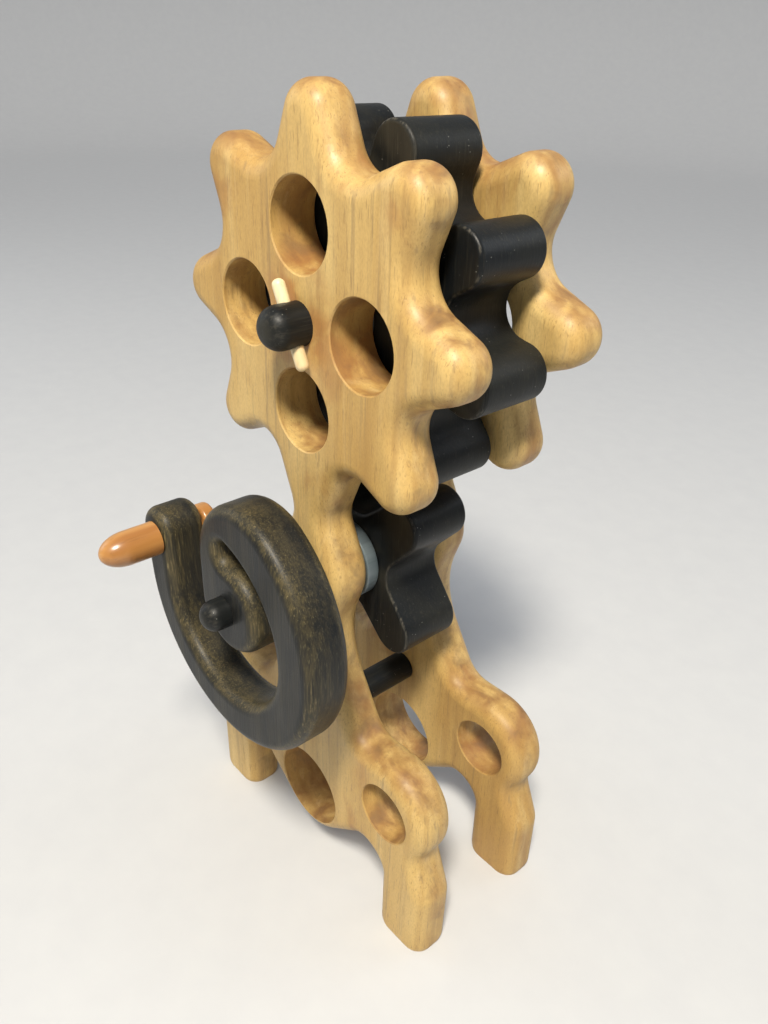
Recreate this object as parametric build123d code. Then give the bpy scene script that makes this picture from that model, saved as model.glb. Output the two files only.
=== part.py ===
from build123d import *
from math import acos, asin, atan2, cos, hypot, radians, sin, sqrt, tan
import os

# Hand-cranked wooden gear toy: two star-topped plates on four feet carry a
# nine-tooth gear above a four-lobed pinion; a spiral crank turns the pinion.
# Millimetres. X runs left to right seen from the crank side, Y runs from the
# crank side to the rear, Z is up. The sketches below use the plane midway
# between the plates as Y = 0; build() then moves everything back by MID_Y, so
# the finished object's origin is on the floor in the middle of its footprint.

MID_Y = 20.95           # mid plane of the plates in the finished object

# ---- plates ----
PLATE_T = 15.8          # board thickness
PLATE_Y = 24.4          # middle of each board from the mid plane
INNER_Y = PLATE_Y - PLATE_T / 2
OUTER_Y = PLATE_Y + PLATE_T / 2
PLATE_ROUND = 6.0       # round-over along the outline
HOLE_EASE = 0.4         # small round at the rim of the bored holes
LEAN = 1.13             # degrees the rear board leans in towards the front one

# ---- star ----
STAR_Z = 215.5          # star centre and upper shaft height
LOBE_N = 8              # lobe positions around the star (the lowest is the neck)
LOBE_R = 8.8            # rounding of a star lobe
LOBE_RC = 52.2          # lobe centre to star centre
VALLEY_R = 10.5         # rounding between lobes
VALLEY_RC = 55.6        # valley arc centre to star centre
STAR_HOLE_R = 12.7      # four bored holes
STAR_HOLE_RC = 26.1

# ---- neck, hips and feet (right side, mirrored) ----
LOW_Z = 131.3           # crank shaft height
BOSS_Z = 133.3          # widening of the neck round the crank shaft
BOSS_R = 16.2
RING_Z = 35.0           # big hole between the legs
RING_R = 20.2
RING_HOLE_R = 16.0
HIP = (42.0, 57.0)      # hip centre
HIP_R = 19.0
HIP_HOLE_R = 11.0
FOOT_R = 7.0            # foot corner rounding
FOOT_DROP = 4.0         # how far the rounded foot runs on below its flat sole
FOOT_IN = 40.2          # inner and outer side of a foot
FOOT_OUT = 63.0

# ---- shafts, gears, spacers ----
UP_D = 12.7             # upper shaft
UP_FRONT = 44.8         # its rounded ends from the mid plane
UP_REAR = 40.6
UP_DOME = 5.6           # rounding of those ends
LOW_D = 9.8             # crank shaft
LOW_FRONT = 70.5        # its rounded front end from the mid plane
LOW_REAR = 32.8         # its rear end, just proud of the rear board
LOW_DOME = 4.5
LOW_TAIL = 1.6          # rounding of the rear end
FIT = 0.05              # radial running clearance of the turning shafts
BIG_FRONT = 14.9        # faces of the large gear from the mid plane
BIG_REAR = 10.2
PIN_HALF = 11.5         # half the thickness of the pinion
BIG_N = 9
BIG_RC = 47.8           # tooth rounding centre to gear centre
BIG_R = 8.2             # tooth rounding
BIG_VR = 8.0            # valley rounding
BIG_VC = 47.2
BIG_PHASE = 29.0        # degrees from +X of the first tooth
PIN_N = 4
PIN_RC = 28.6
PIN_R = 8.6
PIN_VR = 9.0
PIN_VC = 26.0
PIN_PHASE = 43.0
GEAR_EASE = 1.2
SPACER_GAP = 0.3        # end clearance between a spacer and the board
UP_SPACER_D = 24.0      # washers beside the wheels
LOW_SPACER_D = 27.0
KEY_D = 3.2             # round keys half in the shaft, half in the wheel
KEY_L = 14.0

# ---- cross pins ----
CROSS_D = 3.8
CROSS_L = 26.0
CROSS_OUT = 2.9         # pin axis beyond the outer face of the board
CROSS_LEAN = 26.5       # degrees from vertical

# ---- spacer rod between the plates ----
ROD_Z = 69.0
ROD_D = 11.0
ROD_END = 5.3           # how far the rod stops inside the outer face of a board
PLUG_PROUD = 0.6

# ---- crank ----
CRANK_FRONT = 62.6      # front face from the mid plane
CRANK_T = 15.8
CRANK_BACK = CRANK_FRONT - CRANK_T
RIM_C = (-3.5, 126.6)   # outer circle of the spiral
RIM_R = 46.0
BORE = (-4.8, 125.5)    # inner circle of the spiral
BORE_R = 29.7
HUB_R = 15.0
NOSE_R = 23.5           # arc that turns the band in towards the hub
SLOT_R = 4.2            # closed end of the spiral slot
TIP = (-43.2, 139.5)    # rounded end of the arm
TIP_R = 8.0
GRIP_X = -41.5          # handle axis
GRIP_Z = 138.0
CRANK_ROUND = 4.0
COLLAR_D = 19.0

# ---- handle ----
GRIP_D = 11.6
GRIP_END = 82.5         # rounded tip from the mid plane
GRIP_NOSE = 9.5         # length of the rounded nose
TENON_D = 8.0
HEAD_D = 12.4           # retaining head behind the arm
HEAD_T = 5.0
END_PLAY = 0.15


def belt(chain):
    """Closed outline round circles (x, z, r): r > 0 outside bend, r < 0 inside bend.

    Neighbouring arcs are joined by their common tangent; order is counter-clockwise.
    """
    ends = []
    count = len(chain)
    for i in range(count):
        x1, z1, r1 = chain[i]
        x2, z2, r2 = chain[(i + 1) % count]
        span = hypot(x2 - x1, z2 - z1)
        turn = atan2(z2 - z1, x2 - x1) - asin((r2 - r1) / span)
        nx = sin(turn)
        nz = -cos(turn)
        ends.append(((x1 + r1 * nx, z1 + r1 * nz), (x2 + r2 * nx, z2 + r2 * nz)))
    edges = []
    for i in range(count):
        x, z, r = chain[i]
        start = ends[i - 1][1]
        stop = ends[i][0]
        a = atan2(start[1] - z, start[0] - x)
        b = atan2(stop[1] - z, stop[0] - x)
        sweep = (b - a) % radians(360)
        if r < 0:
            sweep -= radians(360)
        mid = (x + abs(r) * cos(a + sweep / 2), z + abs(r) * sin(a + sweep / 2))
        edges.append(ThreePointArc(start, mid, stop))
        nxt = ends[i][1]
        if hypot(nxt[0] - stop[0], nxt[1] - stop[1]) > 1e-4:
            edges.append(Line(stop, nxt))
    return make_face(Wire(edges))


def slab(face, y0, y1):
    """Extrude an outline drawn in (x, z) from y0 to y1."""
    solid = extrude(face, y1 - y0)
    return Pos(0, y1, 0) * Rot(90, 0, 0) * solid


def rod(x, z, d, y0, y1):
    """Round bar along Y."""
    return Pos(x, (y0 + y1) / 2, z) * Rot(90, 0, 0) * Cylinder(d / 2, y1 - y0)


def tube(x, z, outer, inner, y0, y1, ease):
    """Ring with eased rims along Y."""
    body = rod(x, z, outer, y0, y1)
    body = fillet(body.edges(), ease)
    return body - rod(x, z, inner, y0 - 1, y1 + 1)


def ease_rims(body, y, r):
    """Round the outline edges lying at y."""
    chosen = []
    for edge in body.edges():
        box = edge.bounding_box()
        if abs(box.min.Y - y) < 1e-4 and abs(box.max.Y - y) < 1e-4:
            chosen.append(edge)
    return fillet(chosen, r)


def star_bend(index, centre, r):
    """Bend of the star outline at a given step of the lobe pattern."""
    a = radians(360 / LOBE_N * index)
    return (centre * cos(a), STAR_Z + centre * sin(a), r)


def plate_outline():
    """Outline of a plate: star, neck, hips and feet."""
    right = []
    right.append((32.2, 24.5, -8.0))                        # arch inside the leg
    right.append((FOOT_IN + FOOT_R, FOOT_R - FOOT_DROP, FOOT_R))
    right.append((FOOT_OUT - FOOT_R, FOOT_R - FOOT_DROP, FOOT_R))
    right.append((53.4, 25.5, 9.9))                         # calf
    right.append((66.0, 43.5, -8.5))                        # notch under the hip
    right.append((HIP[0], HIP[1], HIP_R))
    right.append((31.5, 84.7, -9.0))                        # hip to waist
    right.append((44.0, 110.5, -33.0))                      # waist
    right.append((0.0, BOSS_Z, BOSS_R))
    right.append((17.4, 154.2, -8.6))                       # thin part of the neck
    right.append((22.7, 165.5, -9.0))                       # under the star
    for step in (-1, 0, 1):
        right.append(star_bend(step, LOBE_RC, LOBE_R))
        right.append(star_bend(step + 0.5, VALLEY_RC, -VALLEY_R))
    left = []
    for x, z, r in reversed(right):
        left.append((-x, z, r))
    chain = [(0.0, RING_Z, RING_R)]
    chain.extend(right)
    chain.append(star_bend(2, LOBE_RC, LOBE_R))
    chain.extend(left)
    return belt(chain)


def plate(side):
    """Board with its bored holes; side -1 is the crank side, +1 the leaning rear one."""
    y0 = side * PLATE_Y - PLATE_T / 2
    y1 = y0 + PLATE_T
    body = slab(plate_outline(), y0, y1)
    for y in (y0, y1):
        body = ease_rims(body, y, PLATE_ROUND)
    bores = []
    for k in range(4):
        a = radians(90 * k)
        bores.append((STAR_HOLE_RC * cos(a), STAR_Z + STAR_HOLE_RC * sin(a), STAR_HOLE_R))
    bores.append((0, RING_Z, RING_HOLE_R))
    bores.append((HIP[0], HIP[1] - 1, HIP_HOLE_R))
    bores.append((-HIP[0], HIP[1] - 1, HIP_HOLE_R))
    for x, z, r in bores:
        body -= rod(x, z, 2 * r, y0 - 1, y1 + 1)
        for y, way in ((y0, 1), (y1, -1)):
            body -= rim_bevel(x, z, r, y, way)
    if side > 0:
        body = Pos(0, PLATE_Y, 0) * Rot(LEAN, 0, 0) * Pos(0, -PLATE_Y, 0) * body
    body -= Pos(0, side * PLATE_Y, -FOOT_DROP) * Box(200, 60, 2 * FOOT_DROP)
    for z, d in ((STAR_Z, UP_D + 2 * FIT), (LOW_Z, LOW_D + 2 * FIT), (ROD_Z, ROD_D)):
        body -= rod(0, z, d, side * PLATE_Y - PLATE_T, side * PLATE_Y + PLATE_T)
    return body


def rear_shift(z):
    """How far the leaning rear board has moved towards the front one at height z."""
    return z * tan(radians(LEAN))


def rim_bevel(x, z, r, y, way):
    """Small cone that eases the rim of a bore at the face y; way points into the board."""
    deep = HOLE_EASE
    cone = Cone(r, r + deep, deep)
    if way > 0:
        return Pos(x, y + deep / 2, z) * Rot(90, 0, 0) * cone
    return Pos(x, y - deep / 2, z) * Rot(-90, 0, 0) * cone


def wheel(n, rc, r, vc, vr, phase, z, bore, y0, y1):
    """Gear with round-tipped teeth about the shaft at height z, from y0 to y1."""
    chain = []
    for k in range(n):
        a = radians(phase + 360 / n * k)
        b = a + radians(180 / n)
        chain.append((rc * cos(a), z + rc * sin(a), r))
        chain.append((vc * cos(b), z + vc * sin(b), -vr))
    body = slab(belt(chain), y0, y1)
    for y in (y0, y1):
        body = ease_rims(body, y, GEAR_EASE)
    return body - rod(0, z, bore, y0 - 1, y1 + 1)


def dowel(z, d, y0, y1, dome0, dome1):
    """Shaft along Y with domed ends."""
    body = rod(0, z, d, y0, y1)
    rims = body.edges().filter_by(GeomType.CIRCLE).sort_by(Axis.Y)
    body = fillet([rims[0]], dome0)
    rims = body.edges().filter_by(GeomType.CIRCLE).sort_by(Axis.Y)
    return fillet([rims[-1]], dome1)


def bullet(x, z, d, y0, y1, tip):
    """Solid grip along Y with an elliptic nose at y0."""
    r = d / 2
    profile = []
    profile.append(Line((y0 + tip, r), (y1, r)))
    profile.append(Line((y1, r), (y1, 0)))
    profile.append(Line((y1, 0), (y0, 0)))
    profile.append(EllipticalCenterArc((y0 + tip, 0), tip, r, start_angle=90, arc_size=90))
    body = revolve(make_face(Wire(profile)), Axis.X, 360)
    return Pos(x, 0, z) * Rot(0, 0, 90) * body


def cross_pin(z, y, lean, length):
    """Round pin with domed ends through a shaft, leaning from the vertical."""
    r = CROSS_D / 2
    pin = Cylinder(r, length)
    pin = fillet(pin.edges(), r * 0.9)
    return Pos(0, y, z) * Rot(0, -lean, 0) * pin


def key(z, d, y0, y1, angle):
    """Round key lying half in a shaft of diameter d and half in the wheel on it."""
    a = radians(angle)
    return rod(d / 2 * cos(a), z + d / 2 * sin(a), KEY_D, y0, y1)


def crank_outline():
    """Spiral: arm tip, rim, nose, hub, closed slot end and inner turn, in that order."""
    slack = 0.05                                            # keeps neighbouring arcs apart
    near = HUB_R + SLOT_R + slack
    far = BORE_R - SLOT_R + slack
    span = hypot(BORE[0], BORE[1] - LOW_Z)
    aim = atan2(BORE[1] - LOW_Z, BORE[0])
    wide = acos((near ** 2 + span ** 2 - far ** 2) / (2 * near * span))
    slot_x = near * cos(aim - wide)
    slot_z = LOW_Z + near * sin(aim - wide)
    nose_x = NOSE_R - HUB_R
    reach = RIM_R - NOSE_R + slack
    nose_z = RIM_C[1] + sqrt(reach ** 2 - (nose_x - RIM_C[0]) ** 2)
    chain = []
    chain.append((TIP[0], TIP[1], TIP_R))
    chain.append((RIM_C[0], RIM_C[1], RIM_R))
    chain.append((nose_x, nose_z, NOSE_R))
    chain.append((0.0, LOW_Z, HUB_R))
    chain.append((slot_x, slot_z, -SLOT_R))
    chain.append((BORE[0], BORE[1], -BORE_R))
    return belt(chain)


def crank():
    body = slab(crank_outline(), -CRANK_FRONT, -CRANK_BACK)
    for y in (-CRANK_FRONT, -CRANK_BACK):
        body = ease_rims(body, y, CRANK_ROUND)
    body -= rod(0, LOW_Z, LOW_D, -CRANK_FRONT - 1, -CRANK_BACK + 1)
    body -= rod(GRIP_X, GRIP_Z, TENON_D + 2 * FIT, -CRANK_FRONT - 1, -CRANK_BACK + 1)
    return body


def handle():
    """Bullet-nosed grip with a tenon through the crank arm."""
    front = -(CRANK_FRONT + END_PLAY)
    grip = bullet(GRIP_X, GRIP_Z, GRIP_D, -GRIP_END, front, GRIP_NOSE)
    end = -(CRANK_BACK - END_PLAY - HEAD_T + 1.2)
    return grip + rod(GRIP_X, GRIP_Z, TENON_D, front - 2, end)


def handle_head():
    y0 = -(CRANK_BACK - END_PLAY)
    head = rod(GRIP_X, GRIP_Z, HEAD_D, y0, y0 + HEAD_T)
    head = fillet(head.edges(), 1.4)
    return head - rod(GRIP_X, GRIP_Z, TENON_D, y0 - 1, y0 + HEAD_T - 1.2)


def plug(side):
    """Domed plug over the end of the spacer rod."""
    y1 = OUTER_Y + PLUG_PROUD
    if side > 0:
        y1 -= rear_shift(ROD_Z)
    y0 = y1 - PLUG_PROUD - ROD_END
    body = rod(0, ROD_Z, ROD_D, y0, y1)
    rim = body.edges().sort_by(Axis.Y)[-1]
    body = fillet([rim], PLUG_PROUD * 0.9)
    if side < 0:
        body = Rot(0, 0, 180) * body
    return body


def build():
    nodes = {}
    nodes["front_plate"] = plate(-1)
    nodes["rear_plate"] = plate(1)
    rod_rear = OUTER_Y - ROD_END - rear_shift(ROD_Z)
    nodes["spacer_rod"] = rod(0, ROD_Z, ROD_D, -OUTER_Y + ROD_END, rod_rear)
    nodes["front_rod_plug"] = plug(-1)
    nodes["rear_rod_plug"] = plug(1)

    face = INNER_Y - SPACER_GAP
    up_face = face - rear_shift(STAR_Z + UP_SPACER_D / 2)
    up_out = OUTER_Y - rear_shift(STAR_Z)
    big = wheel(BIG_N, BIG_RC, BIG_R, BIG_VC, BIG_VR, BIG_PHASE, STAR_Z, UP_D, -BIG_FRONT, BIG_REAR)
    up = dowel(STAR_Z, UP_D, -UP_FRONT, UP_REAR, UP_DOME, UP_DOME)
    up_key = key(STAR_Z, UP_D, -BIG_FRONT, -BIG_FRONT + KEY_L, 90)
    pins = {}
    pins["upper_front_pin"] = cross_pin(STAR_Z, -OUTER_Y - CROSS_OUT, CROSS_LEAN, CROSS_L)
    pins["upper_rear_pin"] = cross_pin(STAR_Z, up_out + CROSS_OUT, CROSS_LEAN, CROSS_L)
    for pin in pins.values():
        up -= pin
    nodes["large_gear"] = big - up_key
    nodes["upper_axle"] = up - up_key
    nodes["large_gear_key"] = up_key
    nodes.update(pins)
    nodes["upper_front_spacer"] = tube(0, STAR_Z, UP_SPACER_D, UP_D, -face, -BIG_FRONT, 0.3)
    nodes["upper_rear_spacer"] = tube(0, STAR_Z, UP_SPACER_D, UP_D, BIG_REAR, up_face, 0.3)

    low_face = face - rear_shift(LOW_Z + LOW_SPACER_D / 2)
    small = wheel(PIN_N, PIN_RC, PIN_R, PIN_VC, PIN_VR, PIN_PHASE, LOW_Z, LOW_D, -PIN_HALF, PIN_HALF)
    low = dowel(LOW_Z, LOW_D, -LOW_FRONT, LOW_REAR, LOW_DOME, LOW_TAIL)
    low_key = key(LOW_Z, LOW_D, -PIN_HALF, -PIN_HALF + KEY_L, -90)
    arm_key = key(LOW_Z, LOW_D, -CRANK_BACK - KEY_L + 3, -CRANK_BACK, -90)
    nodes["pinion_gear"] = small - low_key
    nodes["crank_axle"] = low - low_key - arm_key
    nodes["pinion_key"] = low_key
    nodes["crank_key"] = arm_key
    nodes["pinion_front_spacer"] = tube(0, LOW_Z, LOW_SPACER_D, LOW_D, -face, -PIN_HALF, 0.6)
    nodes["pinion_rear_spacer"] = tube(0, LOW_Z, LOW_SPACER_D, LOW_D, PIN_HALF, low_face, 0.6)
    stop = -(OUTER_Y + SPACER_GAP)
    nodes["crank_collar"] = tube(0, LOW_Z, COLLAR_D, LOW_D, -CRANK_BACK, stop, 1.0)
    nodes["crank_arm"] = crank() - arm_key
    nodes["crank_handle"] = handle()
    nodes["handle_head"] = handle_head()
    placed = {}
    for name, shape in nodes.items():
        placed[name] = Pos(0, MID_Y, 0) * shape
    return placed


os.makedirs("parts", exist_ok=True)
for name, shape in build().items():
    export_step(shape, f"parts/{name}.step")
    box = shape.bounding_box()
    print(f"{name:22s} {shape.volume:10.1f} {box.min} {box.max} {len(shape.solids())}")
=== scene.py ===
import math

import bmesh
import bpy
from mathutils import Matrix, Vector


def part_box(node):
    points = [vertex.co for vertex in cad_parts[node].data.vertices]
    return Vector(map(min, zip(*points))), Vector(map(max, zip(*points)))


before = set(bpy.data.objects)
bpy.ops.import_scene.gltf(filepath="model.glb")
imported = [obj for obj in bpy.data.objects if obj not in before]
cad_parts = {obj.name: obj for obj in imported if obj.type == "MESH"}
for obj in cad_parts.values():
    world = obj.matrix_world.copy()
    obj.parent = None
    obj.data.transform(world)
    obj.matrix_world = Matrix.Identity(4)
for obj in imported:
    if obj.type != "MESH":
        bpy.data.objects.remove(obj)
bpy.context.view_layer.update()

# Everything is in the frame's own axes: metres, +Z up, the crank side at -Y.
UPPER_SHAFT_Z = 0.2155
CRANK_FRONT_Y = float(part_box("crank_arm")[0][1])
X, Y, Z = 0, 1, 2


# ---------------------------------------------------------------- node helper
class Graph:
    """A material's node tree with short calls for the nodes used here."""

    def __init__(self, name, shift=(0, 0, 0)):
        """shift moves the pattern, so that two pieces of one wood differ."""
        self.mat = bpy.data.materials.new(name)
        self.mat.use_nodes = True
        self.nodes = self.mat.node_tree.nodes
        self.links = self.mat.node_tree.links
        self.nodes.clear()
        self.shift = shift
        self.shader = self.nodes.new("ShaderNodeBsdfPrincipled")
        out = self.nodes.new("ShaderNodeOutputMaterial")
        self.links.new(self.shader.outputs[0], out.inputs[0])
        self.coord = self.nodes.new("ShaderNodeTexCoord")

    def put(self, socket, value):
        """Links a socket, or sets its value when it is given a plain one."""
        if isinstance(value, bpy.types.NodeSocket):
            self.links.new(value, socket)
        else:
            socket.default_value = value

    def place(self, offset=(0, 0, 0), scale=(1, 1, 1)):
        """Object coordinates, moved and then stretched."""
        node = self.nodes.new("ShaderNodeMapping")
        self.links.new(self.coord.outputs["Object"], node.inputs["Vector"])
        node.inputs["Location"].default_value = [o * s for o, s in zip(offset, scale)]
        node.inputs["Scale"].default_value = scale
        return node.outputs[0]

    def noise(self, per_metre, detail=3.0, rough=0.5, distort=0.0):
        """Noise with a number of waves per metre along X, Y and Z."""
        node = self.nodes.new("ShaderNodeTexNoise")
        self.links.new(self.place(self.shift, per_metre), node.inputs["Vector"])
        node.inputs["Scale"].default_value = 1.0
        node.inputs["Detail"].default_value = detail
        node.inputs["Roughness"].default_value = rough
        node.inputs["Distortion"].default_value = distort
        return node.outputs["Fac"]

    def cells(self, per_metre):
        """Distance to the nearest of many scattered points."""
        node = self.nodes.new("ShaderNodeTexVoronoi")
        self.links.new(self.place(self.shift), node.inputs["Vector"])
        node.inputs["Scale"].default_value = per_metre
        return node.outputs["Distance"]

    def math(self, kind, a, b=0.0, clamp=False):
        node = self.nodes.new("ShaderNodeMath")
        node.operation = kind
        node.use_clamp = clamp
        self.put(node.inputs[0], a)
        self.put(node.inputs[1], b)
        return node.outputs[0]

    def add(self, a, b):
        return self.math("ADD", a, b)

    def times(self, a, b, clamp=False):
        return self.math("MULTIPLY", a, b, clamp)

    def reach(self, a, b):
        """Length of a flat vector with the parts a and b."""
        squares = self.add(self.math("POWER", a, 2.0), self.math("POWER", b, 2.0))
        return self.math("SQRT", squares)

    def remap(self, value, a, b, c=0.0, d=1.0):
        """Smooth step from c at a to d at b."""
        node = self.nodes.new("ShaderNodeMapRange")
        node.interpolation_type = "SMOOTHSTEP"
        self.put(node.inputs["Value"], value)
        node.inputs["From Min"].default_value = a
        node.inputs["From Max"].default_value = b
        node.inputs["To Min"].default_value = c
        node.inputs["To Max"].default_value = d
        return node.outputs[0]

    def mix(self, factor, a, b):
        node = self.nodes.new("ShaderNodeMix")
        node.data_type = "RGBA"
        self.put(node.inputs[0], factor)
        for socket, value in ((node.inputs[6], a), (node.inputs[7], b)):
            plain = not isinstance(value, bpy.types.NodeSocket)
            self.put(socket, (*value, 1.0) if plain else value)
        return node.outputs[2]

    def layer(self, under, where, strength, color):
        """Lays a color over another: strength is how much of it shows where the mask is 1."""
        return self.mix(self.times(where, strength), under, color)

    def split(self, vector):
        node = self.nodes.new("ShaderNodeSeparateXYZ")
        self.links.new(vector, node.inputs[0])
        return node.outputs

    def bump(self, height, strength, distance, under=None):
        node = self.nodes.new("ShaderNodeBump")
        node.inputs["Strength"].default_value = strength
        node.inputs["Distance"].default_value = distance
        self.links.new(height, node.inputs["Height"])
        if under is not None:
            self.links.new(under, node.inputs["Normal"])
        return node.outputs[0]

    def hand_made(self, per_metre, strength, depth):
        """Slow waviness of a surface that was sanded by hand."""
        return self.bump(self.noise(per_metre, 1.0), strength, depth)

    def facing(self, axis):
        """Size of one component of the surface normal in the object's own frame."""
        return self.math("ABSOLUTE", self.split(self.coord.outputs["Normal"])[axis])

    def finish(self, color, roughness, normal, coat=0.0, coat_rough=0.3, specular=0.5):
        s = self.shader
        self.put(s.inputs["Base Color"], color)
        self.put(s.inputs["Roughness"], roughness)
        self.put(s.inputs["Normal"], normal)
        s.inputs["Coat Weight"].default_value = coat
        s.inputs["Coat Roughness"].default_value = coat_rough
        s.inputs["Specular IOR Level"].default_value = specular
        return self.mat


def along(axis, per_metre, stretch):
    """Waves per metre of a grain that runs along one axis, and is that much slower there."""
    return [per_metre * (stretch if k == axis else 1.0) for k in (X, Y, Z)]


# ---------------------------------------------------------------- board wood
def growth_rings(g, pith):
    """Late wood of the rings round a tree's centre at (x, y), bent by slow noise."""
    ring_turns = 1150.0
    slow_bend, quick_bend = 0.026, 0.0016
    warp = g.noise((9, 9, 2.2), 3.0, 0.5)
    wave = g.noise((60, 60, 14), 2.0, 0.5)
    xyz = g.split(g.place((-pith[0], -pith[1], 0)))
    bent = g.add(g.reach(xyz[X], xyz[Y]), g.times(warp, slow_bend))
    bent = g.add(bent, g.times(wave, quick_bend))
    return g.remap(g.math("SINE", g.times(bent, ring_turns)), 0.1, 1.0)


def shaft_halo(g, patches):
    """Patchy spot of soaked-in finish round the upper shaft hole."""
    outer, inner = 0.024, 0.007
    xyz = g.split(g.place((0, 0, -UPPER_SHAFT_Z)))
    near = g.remap(g.reach(xyz[X], xyz[Z]), outer, inner)
    return g.times(near, g.remap(patches, 0.36, 0.62, 0.0, 0.75))


def board_wood(name, pith, shift):
    """Oiled pale hardwood, grain along Z, with painted shade on its side faces; pith is the (x, y) of the
    tree's centre.
    """
    honey, tan, ring_brown = (0.665, 0.470, 0.178), (0.505, 0.310, 0.092), (0.385, 0.220, 0.062)
    band_brown, band_cream = (0.335, 0.180, 0.058), (0.780, 0.600, 0.270)
    streak_brown, streak_cream = (0.270, 0.150, 0.058), (0.78, 0.60, 0.30)
    line_grey, stain_red, burn_red = (0.185, 0.130, 0.078), (0.330, 0.135, 0.036), (0.215, 0.086, 0.028)
    flank_stain_and_shade, flank_shade_grey, rust = (0.270, 0.120, 0.040), (0.120, 0.085, 0.055), (0.400, 0.170, 0.052)
    pore_brown, grit_brown = (0.19, 0.10, 0.04), (0.27, 0.15, 0.055)

    g = Graph(name, shift)
    late = growth_rings(g, pith)
    broad = g.noise((30, 30, 7), 3.0, 0.55)
    band = g.noise((85, 85, 4), 3.0, 0.6)
    streak = g.noise((190, 190, 8), 4.0, 0.6)
    line = g.noise((520, 520, 15), 2.0, 0.5)
    fibre = g.noise((1500, 1500, 90), 3.0, 0.65)
    grit = g.noise((2100, 2100, 900), 2.0, 0.6)
    pores = g.remap(g.noise((2600, 2600, 170), 1.0, 0.5), 0.62, 0.72)
    mottle = g.noise((48, 48, 30), 4.0, 0.65, 0.5)
    blotch = g.noise((95, 95, 95), 3.0, 0.6, 0.4)
    end_grain = g.remap(g.facing(Z), 0.20, 0.90)
    flank = g.remap(g.facing(Y), 0.75, 0.10)

    tone = g.mix(g.remap(broad, 0.30, 0.72), honey, tan)
    tone = g.layer(tone, late, 0.30, ring_brown)
    tone = g.layer(tone, g.remap(band, 0.50, 0.76), 0.50, band_brown)
    tone = g.layer(tone, g.remap(band, 0.46, 0.24), 0.42, band_cream)
    tone = g.layer(tone, g.remap(streak, 0.54, 0.78), 0.52, streak_brown)
    tone = g.layer(tone, g.remap(streak, 0.46, 0.24), 0.40, streak_cream)
    tone = g.layer(tone, g.remap(line, 0.60, 0.74), 0.36, line_grey)
    tone = g.layer(tone, g.remap(mottle, 0.55, 0.72), 0.42, stain_red)
    tone = g.layer(tone, g.times(end_grain, g.remap(blotch, 0.36, 0.64)), 0.66, burn_red)
    # Painted shade on the side faces (plate edges, lobe flanks, hole walls): reddish-brown patches that
    # are partly real stain and partly shade, then grey-brown patches that are painted shade only.
    tone = g.layer(tone, g.times(flank, g.remap(mottle, 0.42, 0.64)), 0.50, flank_stain_and_shade)
    tone = g.layer(tone, g.times(flank, g.remap(blotch, 0.52, 0.70)), 0.40, flank_shade_grey)
    tone = g.mix(shaft_halo(g, blotch), tone, rust)
    tone = g.layer(tone, pores, 0.40, pore_brown)
    tone = g.layer(tone, g.remap(grit, 0.35, 0.75), 0.24, grit_brown)

    rough = g.add(g.remap(broad, 0.3, 0.7, 0.36, 0.48), g.times(fibre, 0.12))
    rise = g.math("SUBTRACT", g.times(fibre, 0.7), pores)
    rise = g.add(rise, g.times(grit, 0.4))
    normal = g.bump(rise, 0.26, 0.0002, g.hand_made((34, 34, 24), 0.30, 0.0014))
    return g.finish(tone, rough, normal, coat=0.08, coat_rough=0.34, specular=0.40)


# ---------------------------------------------------------------- black wood
def black_wood(name, axis, rubbed, shift=(0, 0, 0)):
    """Black-stained wood: faint grain along one axis, fine dusty specks, rubbed edges, and a painted
    olive-brown sheen on the flat faces.
    """
    blue_black, warm_black = (0.0055, 0.0070, 0.0085), (0.0135, 0.0140, 0.0120)
    grain_brown, fine_grey, speck_grey = (0.038, 0.036, 0.027), (0.060, 0.057, 0.046), (0.34, 0.33, 0.30)
    rub_tan, sheen_olive_brown = (0.120, 0.108, 0.084), (0.066, 0.060, 0.044)

    g = Graph(name, shift)
    grain = g.noise(along(axis, 1100, 0.05), 3.0, 0.6)
    fine = g.noise(along(axis, 2400, 0.05), 2.0, 0.6)
    cloud = g.noise((40, 40, 40), 3.0, 0.55, 0.5)
    dusty = g.remap(g.noise((150, 150, 150), 1.0), 0.53, 0.64)
    speck = g.times(g.remap(g.cells(620.0), 0.13, 0.06), dusty)
    facing = g.facing(Y)
    rub = g.times(g.remap(facing, 0.25, 0.55), g.remap(facing, 0.97, 0.80))
    rub = g.times(rub, g.remap(grain, 0.42, 0.66))
    # Painted sheen: patches of the flat faces that face ±Y are lightened with olive-brown, standing in
    # for a warm satin sheen.
    flat_face_sheen = g.times(g.remap(facing, 0.80, 0.99), g.remap(cloud, 0.40, 0.62))

    tone = g.mix(g.remap(cloud, 0.3, 0.7), blue_black, warm_black)
    tone = g.layer(tone, g.remap(grain, 0.52, 0.8), 0.50, grain_brown)
    tone = g.layer(tone, g.remap(fine, 0.60, 0.78), 0.45, fine_grey)
    tone = g.layer(tone, speck, 0.50, speck_grey)
    tone = g.layer(tone, rub, rubbed, rub_tan)
    tone = g.layer(tone, flat_face_sheen, 0.30, sheen_olive_brown)

    rough = g.add(g.remap(cloud, 0.3, 0.7, 0.33, 0.45), g.times(grain, 0.16))
    rise = g.add(g.times(grain, 0.6), g.times(fine, 0.5))
    normal = g.bump(rise, 0.36, 0.0002, g.hand_made((70, 70, 70), 0.22, 0.0008))
    return g.finish(tone, rough, normal, coat=0.02, coat_rough=0.26, specular=0.24)


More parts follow.
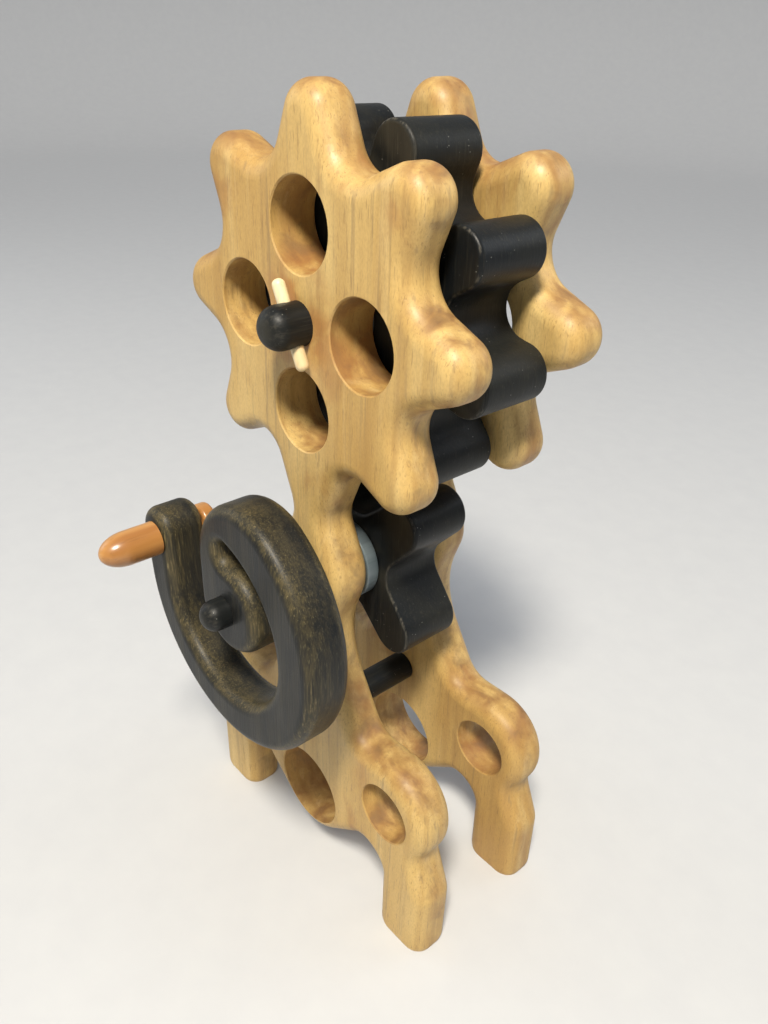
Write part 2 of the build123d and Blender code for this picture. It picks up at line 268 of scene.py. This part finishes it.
def crank_wear(g, cloud):
    """Where hands rub the crank: its rounded edges, and its sides near the front face."""
    fade_end, fade_start = 0.0125, 0.0025
    depth = g.math("SUBTRACT", g.split(g.place())[Y], CRANK_FRONT_Y)
    facing = g.facing(Y)
    edge = g.times(g.remap(facing, 0.02, 0.40), g.remap(facing, 1.0, 0.82))
    near = g.times(g.remap(facing, 0.9, 0.5), g.remap(depth, fade_end, fade_start))
    worn = g.math("MAXIMUM", edge, g.times(near, 0.85))
    return g.times(worn, g.remap(cloud, 0.34, 0.60, 0.30, 1.0))


def crank_wood():
    """Charcoal stain rubbed through to golden-brown grain, most of all round the front edges."""
    blue_black, warm_black = (0.0055, 0.0074, 0.0098), (0.0120, 0.0132, 0.0134)
    band_grey, fine_grey, worn_brown = (0.026, 0.026, 0.022), (0.056, 0.056, 0.046), (0.050, 0.044, 0.026)
    gold, pale_gold, grit_tan = (0.135, 0.104, 0.044), (0.33, 0.265, 0.125), (0.27, 0.25, 0.19)

    g = Graph("crank_black_rubbed", (0.013, 0.02, 0.005))
    band = g.noise((260, 260, 10), 3.0, 0.6)
    grain = g.noise((1150, 1150, 30), 4.0, 0.65)
    fine = g.noise((2300, 2300, 130), 3.0, 0.65)
    grit = g.noise((2600, 2600, 2000), 2.0, 0.6)
    cloud = g.noise((30, 30, 22), 3.0, 0.55, 0.3)
    worn = crank_wear(g, cloud)
    threads = g.add(g.times(grain, 0.6), g.times(fine, 0.4))
    threads = g.add(threads, g.remap(band, 0.35, 0.65, -0.05, 0.05))
    show = g.times(g.remap(threads, 0.38, 0.68), g.add(worn, 0.16), clamp=True)

    tone = g.mix(g.remap(cloud, 0.3, 0.7), blue_black, warm_black)
    tone = g.layer(tone, g.remap(band, 0.44, 0.70), 0.50, band_grey)
    tone = g.layer(tone, g.remap(fine, 0.52, 0.75), 0.40, fine_grey)
    tone = g.layer(tone, worn, 0.55, worn_brown)
    tone = g.layer(tone, show, 0.62, gold)
    tone = g.layer(tone, g.times(g.remap(fine, 0.57, 0.73), worn), 0.45, pale_gold)
    tone = g.layer(tone, g.remap(grit, 0.70, 0.80), 0.35, grit_tan)

    rough = g.add(g.remap(cloud, 0.3, 0.7, 0.31, 0.42), g.times(fine, 0.16))
    rise = g.add(g.times(grain, 0.6), g.times(fine, 0.6))
    normal = g.bump(rise, 0.40, 0.0003, g.hand_made((45, 45, 45), 0.25, 0.0010))
    return g.finish(tone, rough, normal, coat=0.04, coat_rough=0.28, specular=0.24)


# ---------------------------------------------------------------- small pieces
def turned_wood(name, light, dark, axis, rough, coat):
    """Small turned or dowel piece with grain along one axis."""
    g = Graph(name)
    grain = g.noise(along(axis, 800, 0.06), 3.0, 0.6)
    cloud = g.noise(along(axis, 160, 0.06), 2.0, 0.5)
    shade = tuple(0.45 * c for c in dark)
    tone = g.mix(g.remap(cloud, 0.3, 0.7), light, dark)
    tone = g.layer(tone, g.remap(grain, 0.52, 0.8), 0.45, shade)
    sheen = g.add(rough, g.times(grain, 0.12))
    return g.finish(tone, sheen, g.bump(grain, 0.12, 0.0002), coat, coat_rough=0.22)


def paint(nodes, mat):
    """Gives every material slot of some CAD nodes one material."""
    for node in nodes:
        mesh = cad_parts[node].data
        if not mesh.materials:
            mesh.materials.append(mat)
        for i in range(len(mesh.materials)):
            mesh.materials[i] = mat


def paint_all():
    """Materials of all the CAD nodes."""
    paint(["front_plate"], board_wood("plate_wood_front", (-0.012, -0.115), (0.31, 0.12, 0.0)))
    paint(["rear_plate"], board_wood("plate_wood_rear", (0.025, 0.165), (1.70, 0.46, 0.9)))
    paint(["large_gear", "pinion_gear"], black_wood("gear_black", Z, 0.50))
    paint(["upper_axle", "crank_axle", "spacer_rod", "crank_collar"],
          black_wood("axle_black", Y, 0.15, (0.4, 0.1, 0.2)))
    # Painted reflection: the spacers' pale bluish grey stands in for a glint of blue light on their rims.
    paint(["upper_front_spacer", "upper_rear_spacer", "pinion_front_spacer", "pinion_rear_spacer"],
          turned_wood("washer_pale", (0.150, 0.185, 0.200), (0.105, 0.135, 0.150), Y, 0.34, 0.08))
    paint(["crank_arm"], crank_wood())
    paint(["crank_handle", "handle_head"],
          turned_wood("grip_orange", (0.520, 0.262, 0.080), (0.350, 0.150, 0.040), Y, 0.24, 0.35))
    paint(["upper_front_pin", "upper_rear_pin", "large_gear_key", "pinion_key", "crank_key"],
          turned_wood("pin_cream", (0.84, 0.72, 0.45), (0.72, 0.56, 0.31), Z, 0.38, 0.10))
    paint(["front_rod_plug", "rear_rod_plug"],
          turned_wood("plug_brown", (0.50, 0.235, 0.080), (0.36, 0.150, 0.046), Y, 0.36, 0.12))


# ---------------------------------------------------------------- floor
def floor_profile():
    """Radius and height of the floor: flat, then a quarter round, then a low wall."""
    flat, curve, wall_top, steps = 2.2, 0.7, 1.9, 8
    points = [(0.6, 0.0), (flat, 0.0)]
    for k in range(1, steps + 1):
        a = math.radians(90 * k / steps)
        points.append((flat + curve * math.sin(a), curve - curve * math.cos(a)))
    points.append((flat + curve, wall_top))
    return points


def floor_mesh():
    """The floor's profile turned about the vertical axis, with a disc in the middle."""
    sides = 72
    bm = bmesh.new()
    rings = []
    for r, z in floor_profile():
        turns = [2 * math.pi * k / sides for k in range(sides)]
        rings.append([bm.verts.new((r * math.cos(a), r * math.sin(a), z)) for a in turns])
    bm.faces.new(rings[0])
    for low, high in zip(rings, rings[1:]):
        for k in range(sides):
            n = (k + 1) % sides
            bm.faces.new((low[k], high[k], high[n], low[n]))
    for face in bm.faces:
        face.smooth = True
    bm.normal_update()
    mesh = bpy.data.meshes.new("floor")
    bm.to_mesh(mesh)
    bm.free()
    return mesh


def make_floor():
    """Round pale floor that sweeps up into a low wall far from the object."""
    g = Graph("floor_pale")
    grain = g.noise((60, 60, 60), 4.0, 0.6)
    tone = g.mix(grain, (0.56, 0.57, 0.59), (0.61, 0.62, 0.63))
    mesh = floor_mesh()
    mesh.materials.append(g.finish(tone, 0.7, g.bump(grain, 0.05, 0.0005), specular=0.25))
    floor = bpy.data.objects.new("floor", mesh)
    bpy.context.scene.collection.objects.link(floor)


# ---------------------------------------------------------------- light
def aim(name, data, place, target):
    """Puts a light at a place and points it at a target."""
    lamp = bpy.data.objects.new(name, data)
    lamp.location = place
    way = Vector(target) - Vector(place)
    lamp.rotation_euler = way.to_track_quat("-Z", "Y").to_euler()
    bpy.context.scene.collection.objects.link(lamp)


def area_light(name, place, size, watts, color):
    """Round soft light, pointed at the middle of the object."""
    middle = (0.0, 0.0, 0.15)
    data = bpy.data.lights.new(name, "AREA")
    data.shape = "DISK"
    data.size = size
    data.energy = watts
    data.color = color
    aim(name, data, place, middle)


def even_light():
    """Wide far light from the key's side, which keeps the floor bright far from the object."""
    data = bpy.data.lights.new("even", "SUN")
    data.energy = 1.15
    data.angle = math.radians(14)
    data.color = (1.0, 0.95, 0.86)
    aim("even", data, (0.34, -0.40, 0.80), (0, 0, 0))


def make_light():
    area_light("key", (0.34, -0.40, 0.95), 0.16, 11.0, (1.0, 0.92, 0.78))
    area_light("fill_left", (-0.95, -0.55, 0.60), 0.7, 2.2, (0.88, 0.94, 1.0))
    area_light("rim_back", (0.55, 0.95, 0.75), 0.6, 2.0, (0.92, 0.96, 1.0))
    even_light()
    world = bpy.data.worlds.new("studio")
    world.use_nodes = True
    background = world.node_tree.nodes["Background"]
    background.inputs["Color"].default_value = (0.86, 0.91, 1.0, 1.0)
    background.inputs["Strength"].default_value = 0.36
    bpy.context.scene.world = world
    bpy.context.scene.view_settings.view_transform = "Standard"


# ---------------------------------------------------------------- camera
def make_camera():
    """Camera at the front right of the object, looking down and rolled a little."""
    place = Vector((0.18487, -0.14711, 0.28547))
    azimuth, elevation, roll = math.radians(47.36), math.radians(29.52), math.radians(1.95)
    right = Vector((math.cos(azimuth), math.sin(azimuth), 0))
    back = Matrix.Rotation(-elevation, 3, right) @ Vector((math.sin(azimuth), -math.cos(azimuth), 0))
    right.rotate(Matrix.Rotation(roll, 3, back))
    up = back.cross(right)
    data = bpy.data.cameras.new("camera")
    data.sensor_fit = "VERTICAL"
    data.sensor_height = 36.0
    data.lens = 29.5
    data.clip_start = 0.01
    data.clip_end = 20.0
    cam = bpy.data.objects.new("camera", data)
    turn = Matrix((right, up, back)).transposed().to_4x4()
    cam.matrix_world = Matrix.Translation(place) @ turn
    bpy.context.scene.collection.objects.link(cam)
    bpy.context.scene.camera = cam


paint_all()
make_floor()
make_light()
make_camera()
